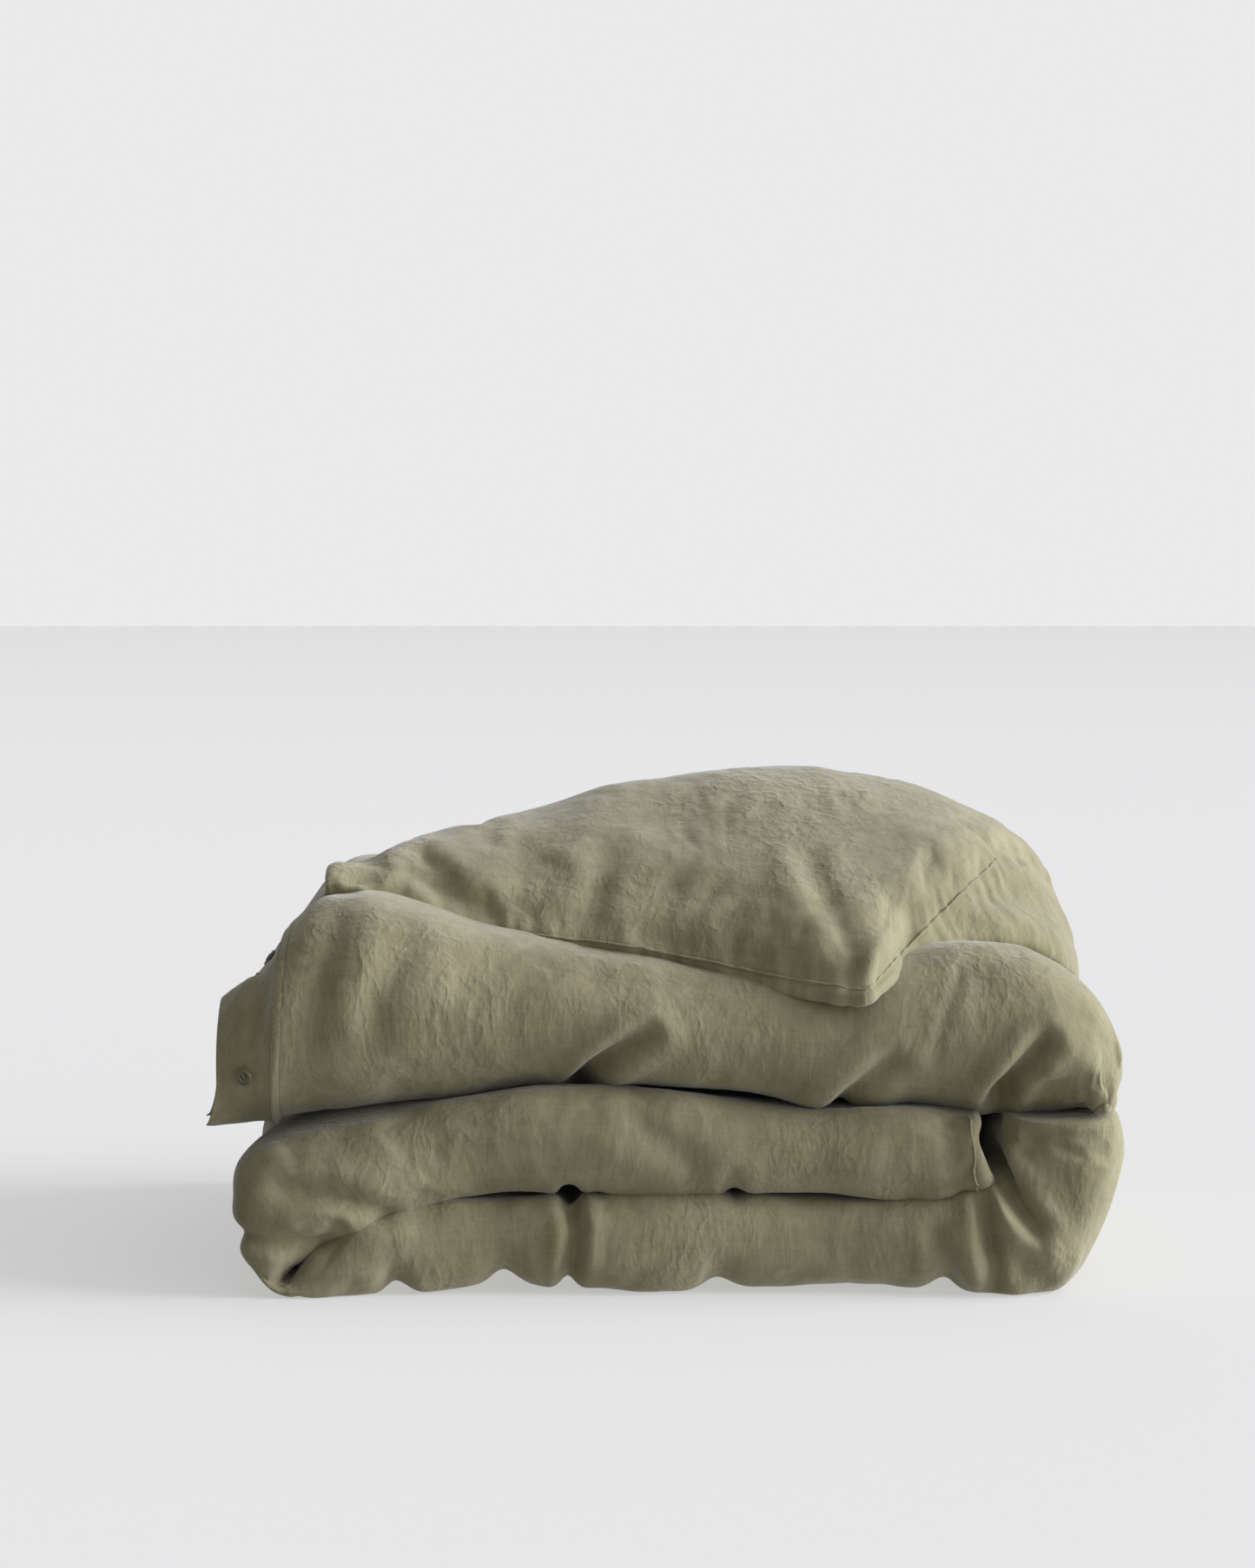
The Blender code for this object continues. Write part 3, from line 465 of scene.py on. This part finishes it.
def corner_flap():
    """The turned-over corner: rings round its section, whose first column is its seam."""
    _ends, weights = spline(FLAP_SEAM, 2)
    outline = (FLAP_SEAM, FLAP_SHOULDER, FLAP_CREST, FLAP_BACK,
               FLAP_UNDER_BACK, FLAP_UNDER, FLAP_LIP, FLAP_SEAM)
    lines = [spline(line, FLAP_RINGS, weights)[0] for line in outline]
    rings = []
    for number in range(FLAP_RINGS):
        ring, _weights = spline([line[number] for line in lines], FLAP_AROUND + 1)
        rings.append(ring[:-1])
    points = np.array(rings)
    points = rounded_end(points[::-1], (-1, -0.2, -0.2), reach=0.008)[::-1]
    points = rounded_end(points, (0.5, 0.2, -0.6), reach=0.006)
    normals = grid_normals(points)
    columns = np.arange(FLAP_AROUND)
    seam_distance = np.minimum(columns, FLAP_AROUND - columns) / FLAP_AROUND
    calm = ease(seam_distance / 0.05) * (0.3 + 0.7 * ease(np.arange(len(points)) / 34))[:, None]
    moved = ruffle(points, normals, 23, 0.0013, 0.0011, 0.036)
    points = points + (moved - points) * calm[..., None]
    pressed = ease((-normals[..., 2] - 0.3) / 0.4)
    held = end_rings(points, ROUNDING_RINGS + 1) | (calm < 0.02)
    points = pad_out(points, "flap_trial", held, pressed, pressure=2.0, spare=0.035, reach=0.006)
    points = fold_in(points, grid_normals(points), FLAP_CREASES, 0.30)
    return pucker(points, 0.0011)


def pucker(points, depth):
    """Small pleats beside the seam that runs along a grid's first column."""
    along = np.concatenate(([0], np.cumsum(np.linalg.norm(np.diff(points[:, 0], axis=0), axis=1))))
    gaps = np.linalg.norm(np.diff(points, axis=1), axis=2).mean(axis=0)
    away = np.concatenate(([0], np.cumsum(gaps)))
    away = np.minimum(away, away[-1] - away)
    place = np.stack(np.broadcast_arrays(along[:, None], 0.3 * away[None, :], 0.0), axis=-1)
    pleats = Waves(41, 0.012, count=14)(place) * np.exp(-((away - 0.006) / 0.009) ** 2)[None, :]
    return points + grid_normals(points) * (depth * pleats)[..., None]


def hem_side(run):
    """How far the cloth gapes between two buttons, from 0 at a button to 1 halfway."""
    return np.sin(math.pi * (run - BUTTON_SHIFT) / BUTTON_RUN) ** 2


def hem_reach(fraction, leg):
    """The share of the hem's full depth that its free edge reaches, round the nose and along the legs."""
    upper, lower = np.clip(fraction, 0, 1), np.clip(-fraction, 0, 1)
    nose = 0.80 + 0.04 * upper + 0.20 * lower ** 1.3
    behind = np.where(fraction > 0, 0.84, 0.82 + 0.18 * np.exp(-leg / 0.015))
    return np.where(np.abs(fraction) < 1, nose, behind)


def hem_lift(run, fraction, done, gape):
    """How far the hem stands off its plain section; done is the share of the way to its free edge."""
    opened = gape * hem_side(run) * done ** 1.5
    sag = HEM_SAG * np.clip(-fraction, 0, 1) * np.exp(-((run + 0.085) / 0.045) ** 2)
    crown = HEM_CROWN * np.exp(-((run - 0.072) / 0.030) ** 2) * done ** 0.8
    dip = HEM_DIP * math.sin(math.pi * min(done / 0.55, 1)) * ease(fraction / 0.5)
    return opened + sag + crown - dip


def hem_sheet(name, ply, inset, gape):
    """A band of the hem: it leaves the ply's last ring and follows the hem's section to its free edge.

    Each row runs along the upper leg, round the front nose and back along the lower leg. fraction is 1 at
    the nose's upper end and -1 at its lower end, and leg is the distance behind either."""
    last = ply[-1]
    count = len(last)
    columns = np.arange(-HEM_LEG_STEPS, TOP_END + HEM_LEG_STEPS + 1) % count
    start = last[columns]
    fraction = np.clip(1 - 2 * (np.arange(len(columns)) - HEM_LEG_STEPS) / TOP_END, -1, 1)
    leg = np.abs(start[:, 1] - last[0, 1]) * (np.abs(fraction) >= 1)
    reach = hem_reach(fraction, leg)
    angle = fraction * math.pi / 2
    out = np.column_stack((np.zeros_like(angle), -np.cos(angle), np.sin(angle)))
    wave = Waves(61, 0.09)
    normals = grid_normals(ply)
    rows = []
    for back, proud in ((3, -0.0008), (2, 0.0002), (1, 0.8 * HEM_PROUD)):
        rows.append((ply + normals * proud)[-1 - back][columns])
    for step in range(1, HEM_STEPS + 1):
        done = step / HEM_STEPS
        x = start[:, 0] + (HEM_END[0] - start[:, 0]) * done * reach
        along = np.clip((HEM_START[0] - x) / (HEM_START[0] - HEM_END[0]), 0, 1)
        _x, half, _depth, middle = (a + (b - a) * along for a, b in zip(HEM_START, HEM_END))
        depth = HEM_START[2] + (HEM_END[2] - HEM_START[2]) * (1 - (1 - along) ** 1.6)
        run = fraction * half * math.pi / 2 + np.sign(fraction) * leg
        y = -depth + half - half * np.cos(angle) + leg
        place = np.column_stack((x, y, middle + half * np.sin(angle)))
        blend = ease(done / 0.35)
        place = start * (1 - blend) + place * blend
        ripple = 0.0035 * wave(place) * hem_side(run) * done
        lift = hem_lift(run, fraction, done, gape) + ripple - inset * blend + HEM_PROUD * (1 - blend)
        rows.append(place + out * lift[:, None])
    points = np.array(rows)
    return grid_object(name, points, closed=False), points


def thicken(obj, thickness):
    """Gives a sheet its thickness, on its inner side."""
    step = obj.modifiers.new("thickness", "SOLIDIFY")
    step.thickness = thickness
    step.offset = -1


def tube(path, normals, radii, sides=8):
    """The rings of a closed round cord, with a radius for each point of its path."""
    path = np.asarray(path, float)
    radii = np.broadcast_to(radii, len(path))
    along = np.gradient(path, axis=0)
    along /= np.maximum(np.linalg.norm(along, axis=1, keepdims=True), 1e-9)
    side = np.cross(along, normals)
    side /= np.maximum(np.linalg.norm(side, axis=1, keepdims=True), 1e-9)
    up = np.cross(side, along)
    angles = 2 * math.pi * np.arange(sides) / sides
    return (path[:, None, :] + radii[:, None, None] * (np.cos(angles)[None, :, None] * side[:, None, :]
                                                       + np.sin(angles)[None, :, None] * up[:, None, :]))


def joined_tubes(name, all_rings):
    """One mesh of many closed tubes."""
    points, faces = [], []
    for rings in all_rings:
        rows, columns = rings.shape[:2]
        index = len(points) + np.arange(rows * columns).reshape(rows, columns)
        following = np.roll(index, -1, axis=1)
        faces += np.stack((index[:-1], index[1:], following[1:], following[:-1]), -1).reshape(-1, 4).tolist()
        faces += [index[0].tolist(), index[-1][::-1].tolist()]
        points += rings.reshape(-1, 3).tolist()
    mesh = bpy.data.meshes.new(name)
    mesh.from_pydata(points, [], faces)
    mesh.shade_smooth()
    made = bpy.data.objects.new(name, mesh)
    bpy.context.scene.collection.objects.link(made)
    return made


def seam_ridge(name, path, normals, radius, seed):
    """The narrow ridge of a french seam, slightly uneven, tapering at its ends."""
    count = len(path) * 3
    fine, _weights = spline(path, count)
    lean, _weights = spline(normals, count)
    taper = np.minimum(np.arange(count), np.arange(count)[::-1]) / 8
    radii = radius * (0.25 + 0.75 * ease(taper)) * (1 + 0.10 * Waves(seed, 0.012)(fine))
    fine = fine + lean * (0.5 * radius + 0.0004 * Waves(seed + 1, 0.03)(fine))[:, None]
    return joined_tubes(name, [tube(fine, lean, radii)])


def stitch_row(path, normals, length=0.0028, gap=0.0009, radius=0.00032):
    """The rings of separate stitches laid along a path."""
    steps = np.linalg.norm(np.diff(path, axis=0), axis=1)
    travelled = np.concatenate(([0], np.cumsum(steps)))
    rings = []
    for start in np.arange(0.001, travelled[-1] - length, length + gap):
        where = start + length * np.array([0.0, 0.2, 0.8, 1.0])
        place = np.column_stack([np.interp(where, travelled, column) for column in path.T])
        lean = np.column_stack([np.interp(where, travelled, column) for column in normals.T])
        lift = np.array([-0.0002, 0.0001, 0.0001, -0.0002])[:, None]
        rings.append(tube(place + lean * lift, lean, radius * np.array([0.5, 1, 1, 0.5]), 6))
    return rings


def new_material(name):
    """A material, its shader, a function that adds a node with its settings, and its links."""
    made = bpy.data.materials.new(name)
    made.use_nodes = True
    nodes, links = made.node_tree.nodes, made.node_tree.links

    def add(kind, **values):
        node = nodes.new(kind)
        for key, value in values.items():
            if key in node.inputs:
                node.inputs[key].default_value = value
            else:
                setattr(node, key, value)
        return node

    return made, nodes["Principled BSDF"], add, links


def mix_values(add, links, first, second, share=0.5):
    """A value between two others; share is the second one's part."""
    node = add("ShaderNodeMix", data_type="FLOAT")
    node.inputs[0].default_value = share
    links.new(first, node.inputs[2])
    links.new(second, node.inputs[3])
    return node.outputs[0]


def press_marks(add, links, place, scale, stretch):
    """Soft hollows that meet in sharp little ridges, in patches, as washed linen dries."""
    shape = add("ShaderNodeMapping", Scale=stretch, Rotation=(0.0, 0.35, 0.2))
    wander = add("ShaderNodeTexNoise", Scale=scale * 0.6, Detail=3.0)
    warped = add("ShaderNodeMix", data_type="VECTOR", Factor=0.12)
    cells = add("ShaderNodeTexVoronoi", Scale=scale)
    hollow = add("ShaderNodeMath", operation="POWER")
    hollow.inputs[1].default_value = 2.0
    links.new(place.outputs["Object"], shape.inputs["Vector"])
    links.new(shape.outputs["Vector"], wander.inputs["Vector"])
    links.new(shape.outputs["Vector"], warped.inputs[4])  # the mixed vectors and their result
    links.new(wander.outputs["Color"], warped.inputs[5])
    links.new(warped.outputs[1], cells.inputs["Vector"])
    links.new(cells.outputs["Distance"], hollow.inputs[0])

    patches = add("ShaderNodeTexNoise", Scale=7.0, Detail=2.0)
    step = add("ShaderNodeMapRange", interpolation_type="SMOOTHSTEP")
    step.inputs["From Min"].default_value = 0.42
    step.inputs["From Max"].default_value = 0.60
    step.inputs["To Min"].default_value = 0.15
    masked = add("ShaderNodeMath", operation="MULTIPLY")
    links.new(place.outputs["Object"], patches.inputs["Vector"])
    links.new(patches.outputs["Fac"], step.inputs["Value"])
    links.new(hollow.outputs["Value"], masked.inputs[0])
    links.new(step.outputs["Result"], masked.inputs[1])
    return masked.outputs["Value"]


def linen(name, dark, light, sheen):
    """Washed linen: plain weave with slubs, mottled dye and soft crumples."""
    made, shader, add, links = new_material(name)
    uv = add("ShaderNodeUVMap", uv_map="weave")
    place = add("ShaderNodeTexCoord")

    def threads(scale, seed, detail=3.0):
        mapping = add("ShaderNodeMapping", Scale=(*scale, 1), Location=(seed, seed, 0))
        noise = add("ShaderNodeTexNoise", Scale=1.0, Detail=detail, Roughness=0.6)
        links.new(uv.outputs["UV"], mapping.inputs["Vector"])
        links.new(mapping.outputs["Vector"], noise.inputs["Vector"])
        return noise.outputs["Fac"]

    weave = mix_values(add, links, threads((1000, 60), 0.0), threads((60, 1000), 3.7))
    slubs = mix_values(add, links, threads((330, 16), 9.1), threads((16, 330), 5.3))
    streaks = mix_values(add, links, threads((110, 9), 2.2, 5.0), threads((9, 110), 7.9, 5.0))
    cloth = mix_values(add, links, mix_values(add, links, weave, slubs, 0.5), streaks, 0.3)

    def crinkles(scale, stretch, tilt, distortion):
        shape = add("ShaderNodeMapping", Scale=stretch, Rotation=(0.0, tilt, 0.0))
        noise = add("ShaderNodeTexNoise", Scale=scale, Detail=5.0, Roughness=0.58, Distortion=distortion)
        links.new(place.outputs["Object"], shape.inputs["Vector"])
        links.new(shape.outputs["Vector"], noise.inputs["Vector"])
        return noise.outputs["Fac"]

    upright = crinkles(52.0, (1.0, 1.0, 0.32), 0.18, 0.6)
    slanted = crinkles(30.0, (1.0, 1.0, 0.45), -0.65, 1.0)
    folds = mix_values(add, links, upright, slanted, 0.5)

    mottle = add("ShaderNodeTexNoise", Scale=8.0, Detail=5.0, Roughness=0.65)
    links.new(place.outputs["Object"], mottle.inputs["Vector"])
    tone = mix_values(add, links, cloth, mottle.outputs["Fac"], 0.38)
    tone = mix_values(add, links, tone, upright, 0.25)
    ramp = add("ShaderNodeValToRGB")
    ramp.color_ramp.elements[0].position = 0.36
    ramp.color_ramp.elements[0].color = (*dark, 1)
    ramp.color_ramp.elements[1].position = 0.64
    ramp.color_ramp.elements[1].color = (*light, 1)
    links.new(tone, ramp.inputs["Fac"])
    links.new(ramp.outputs["Color"], shader.inputs["Base Color"])

    fine = add("ShaderNodeBump", Strength=0.30, Distance=0.0006)
    links.new(cloth, fine.inputs["Height"])
    soft = add("ShaderNodeBump", Strength=0.42, Distance=0.0045)
    links.new(folds, soft.inputs["Height"])
    links.new(fine.outputs["Normal"], soft.inputs["Normal"])
    pressed = add("ShaderNodeBump", Strength=0.5, Distance=0.0042)
    marks = mix_values(add, links, press_marks(add, links, place, 26.0, (1.0, 1.0, 0.6)),
                       press_marks(add, links, place, 58.0, (1.0, 1.0, 0.5)), 0.4)
    links.new(marks, pressed.inputs["Height"])
    links.new(soft.outputs["Normal"], pressed.inputs["Normal"])
    links.new(pressed.outputs["Normal"], shader.inputs["Normal"])
    shader.inputs["Roughness"].default_value = 0.92
    shader.inputs["Specular IOR Level"].default_value = 0.15
    shader.inputs["Sheen Weight"].default_value = sheen
    shader.inputs["Sheen Roughness"].default_value = 0.45
    return made


def button_resin():
    """Dyed resin with a faint swirl and a worn, slightly glossy face."""
    made, shader, add, links = new_material("button_resin")
    place = add("ShaderNodeTexCoord")
    swirl = add("ShaderNodeTexNoise", Scale=170.0, Detail=4.0, Roughness=0.6, Distortion=2.0)
    ramp = add("ShaderNodeValToRGB")
    ramp.color_ramp.elements[0].color = (0.075, 0.067, 0.035, 1)
    ramp.color_ramp.elements[1].color = (0.155, 0.140, 0.082, 1)
    scratches = add("ShaderNodeTexNoise", Scale=900.0, Detail=2.0)
    rough = add("ShaderNodeMapRange")
    rough.inputs["To Min"].default_value = 0.34
    rough.inputs["To Max"].default_value = 0.58
    bump = add("ShaderNodeBump", Strength=0.15, Distance=0.0003)
    links.new(place.outputs["Object"], swirl.inputs["Vector"])
    links.new(place.outputs["Object"], scratches.inputs["Vector"])
    links.new(swirl.outputs["Fac"], ramp.inputs["Fac"])
    links.new(ramp.outputs["Color"], shader.inputs["Base Color"])
    links.new(scratches.outputs["Fac"], rough.inputs["Value"])
    links.new(rough.outputs["Result"], shader.inputs["Roughness"])
    links.new(scratches.outputs["Fac"], bump.inputs["Height"])
    links.new(bump.outputs["Normal"], shader.inputs["Normal"])
    return made


def sewing_thread():
    """Twisted thread in the linen's colour."""
    made, shader, add, links = new_material("sewing_thread")
    place = add("ShaderNodeTexCoord")
    twist = add("ShaderNodeTexWave", Scale=900.0, Distortion=1.5, bands_direction="DIAGONAL")
    ramp = add("ShaderNodeValToRGB")
    ramp.color_ramp.elements[0].color = (0.15, 0.13, 0.07, 1)
    ramp.color_ramp.elements[1].color = (0.30, 0.27, 0.17, 1)
    bump = add("ShaderNodeBump", Strength=0.5, Distance=0.0002)
    links.new(place.outputs["Object"], twist.inputs["Vector"])
    links.new(twist.outputs["Fac"], ramp.inputs["Fac"])
    links.new(ramp.outputs["Color"], shader.inputs["Base Color"])
    links.new(twist.outputs["Fac"], bump.inputs["Height"])
    links.new(bump.outputs["Normal"], shader.inputs["Normal"])
    shader.inputs["Roughness"].default_value = 0.75
    return made


def dress(obj, surface, body=None, stands_for=()):
    """Gives a piece its material and slot and the body it rides on, and hides the CAD nodes that it stands
    for.
    """
    obj.data.materials.clear()
    obj.data.materials.append(surface)
    if body:
        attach(obj, body)
    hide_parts(*stands_for)
    return obj


def smooth_out(obj):
    step = obj.modifiers.new("finer", "SUBSURF")
    step.levels = step.render_levels = 1


def set_camera():
    """A camera in front and slightly above, with the stack in the lower half of a tall picture."""
    distance = 3.2
    half_height = 0.6  # of the picture, at the front of the stack
    tilt = 4.6  # degrees down
    data = bpy.data.cameras.new("camera")
    data.sensor_fit = "VERTICAL"
    data.sensor_height = 36
    data.lens = data.sensor_height / 2 * distance / half_height
    made = bpy.data.objects.new("camera", data)
    made.location = (-0.0232, FRONT_Y - distance, 0.658)
    made.rotation_euler = (math.radians(90 - tilt), 0, 0)
    bpy.context.scene.collection.objects.link(made)
    bpy.context.scene.camera = made


WORLD, SUN, SUN_FROM = 0.54, 4.6, Vector((0.94, -0.06, 0.32)).normalized()
WORLD_SLOPE = 0.75  # how much brighter the world is toward +X, as a share of its mean
SUN_WIDTH = 38  # degrees
STAGE_SIZE, BACKDROP_Y = 60, 12
STAGE_ALBEDO = 0.36
PALE = 0.807  # brightness of the floor and the backdrop where nothing shades them


def glowing(name, facing):
    """A matt studio surface that glows just enough to come out evenly pale under the lights."""
    lit = STAGE_ALBEDO * (WORLD + SUN * SUN_FROM.dot(facing) / math.pi)
    surface = bpy.data.materials.new(name)
    surface.use_nodes = True
    shader = surface.node_tree.nodes["Principled BSDF"]
    shader.inputs["Base Color"].default_value = (STAGE_ALBEDO, STAGE_ALBEDO, STAGE_ALBEDO, 1)
    shader.inputs["Roughness"].default_value = 1.0
    shader.inputs["Specular IOR Level"].default_value = 0.0
    shader.inputs["Emission Color"].default_value = (1, 1, 1, 1)
    shader.inputs["Emission Strength"].default_value = PALE - lit
    return surface


def studio():
    """A pale floor and backdrop, a wide soft sun from the right and a world that is brighter there too."""
    scene = bpy.context.scene
    scene.view_settings.view_transform = "Standard"
    world = bpy.data.worlds.new("studio")
    world.use_nodes = True
    nodes, links = world.node_tree.nodes, world.node_tree.links
    towards = nodes.new("ShaderNodeTexCoord")
    split = nodes.new("ShaderNodeSeparateXYZ")
    strength = nodes.new("ShaderNodeMath")
    strength.operation = "MULTIPLY_ADD"
    strength.inputs[1].default_value = WORLD * WORLD_SLOPE
    strength.inputs[2].default_value = WORLD
    links.new(towards.outputs["Generated"], split.inputs["Vector"])
    links.new(split.outputs["X"], strength.inputs[0])
    links.new(strength.outputs["Value"], nodes["Background"].inputs["Strength"])
    nodes["Background"].inputs["Color"].default_value = (1, 1, 1, 1)
    scene.world = world
    bpy.ops.mesh.primitive_plane_add(size=STAGE_SIZE, location=(0, 0, 0))
    floor = bpy.context.active_object
    floor.name = "floor"
    floor.data.materials.append(glowing("pale_floor", Vector((0, 0, 1))))
    upright = (math.radians(90), 0, 0)
    bpy.ops.mesh.primitive_plane_add(size=STAGE_SIZE, location=(0, BACKDROP_Y, 0), rotation=upright)
    wall = bpy.context.active_object
    wall.name = "backdrop"
    wall.data.materials.append(glowing("pale_backdrop", Vector((0, -1, 0))))
    for stage in (floor, wall):
        stage.visible_diffuse = False
    data = bpy.data.lights.new("key", "SUN")
    data.energy = SUN
    data.angle = math.radians(SUN_WIDTH)
    data.color = (0.97, 0.985, 1.05)
    key = bpy.data.objects.new("key", data)
    key.rotation_euler = (-SUN_FROM).to_track_quat("-Z", "Y").to_euler()
    scene.collection.objects.link(key)


def make_hem(top, cloth, thread):
    """The button hem: the buttonhole band, the button band under it and the hem's two rows of stitches."""
    outer, rows = hem_sheet("buttonhole_hem", top, 0.0, BUTTONHOLE_GAPE)
    inner, _rows = hem_sheet("button_hem", top, HEM_INSET, BUTTON_GAPE)
    for band, node in ((outer, "buttonhole_band"), (inner, "button_band")):
        thicken(band, HEM_CLOTH)
        smooth_out(band)
        dress(band, cloth, "top_layer", [node])
    first_free, second_free = 3, 4  # rows past the ply's end, where the stitches run
    normals = grid_normals(rows, closed=False)
    stitches = []
    for row in (first_free, second_free):
        stitches += stitch_row(rows[row], normals[row])
    dress(joined_tubes("hem_stitches", stitches), thread, "top_layer")


def make_lower_plies(cloth):
    points = lower_plies()
    plies = grid_object("lower_plies", points)
    smooth_out(plies)
    folded = ("base_layer", "left_fold", "middle_layer", "right_fold")
    dress(plies, cloth, "stack",
          [f"{kind}_{part}" for kind in ("cover", "insert_shell", "down_fill") for part in folded]
          + ["cover_tie_front", "cover_tie_back", "insert_loop_front", "insert_loop_back"])
    head_end = points[ROUNDING_RINGS + 1]
    front = head_end[1:LOWER_END]
    seam = seam_ridge("head_end_seam", front, np.tile([0.0, -1.0, 0.0], (len(front), 1)), 0.0008, 71)
    dress(seam, cloth, "stack", ["head_seam"])


def make_top_ply(cloth, cotton):
    """The top ply with the insert's end in its mouth; returns the ply's grid."""
    points = top_ply()
    ply = grid_object("top_ply", points)
    smooth_out(ply)
    dress(ply, cloth, "top_layer", ["cover_top_layer", "down_fill_top_layer"])
    insert = grid_object("insert_end", insert_end(points[-1]))
    smooth_out(insert)
    dress(insert, cotton, "top_layer", ["insert_shell_top_layer"])
    return points


def make_corner_flap(cloth):
    """The turned-over corner and its seam."""
    points = corner_flap()
    flap = grid_object("corner_flap", points)
    smooth_out(flap)
    dress(flap, cloth, None, ["cover_corner_flap", "insert_shell_corner_flap",
                                              "down_fill_corner_flap"])
    line, away = points[:, 0], grid_normals(points)[:, 0]
    sewn = (line[:, 0] > SEAM_START_X) & (np.arange(len(line)) < len(line) - SEAM_END_RINGS)
    ridge = seam_ridge("corner_flap_seam", line[sewn], away[sewn], 0.0011, 81)
    dress(ridge, cloth, None, ["flap_end_seam", "flap_side_seam"])
    for piece in (flap, ridge):
        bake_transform(piece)


def main():
    cloth = linen("washed_linen", (0.154, 0.140, 0.076), (0.338, 0.312, 0.198), 0.32)
    cotton = linen("insert_cotton", (0.70, 0.69, 0.66), (0.86, 0.85, 0.82), 0.1)
    resin, thread = button_resin(), sewing_thread()
    make_lower_plies(cloth)
    top = make_top_ply(cloth, cotton)
    make_hem(top, cloth, thread)
    make_corner_flap(cloth)
    for number in BUTTONS:
        for kind, surface in (("button", resin), ("thread", thread)):
            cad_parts[f"{kind}_{number}"].data.materials[0] = surface
    set_camera()
    studio()


main()
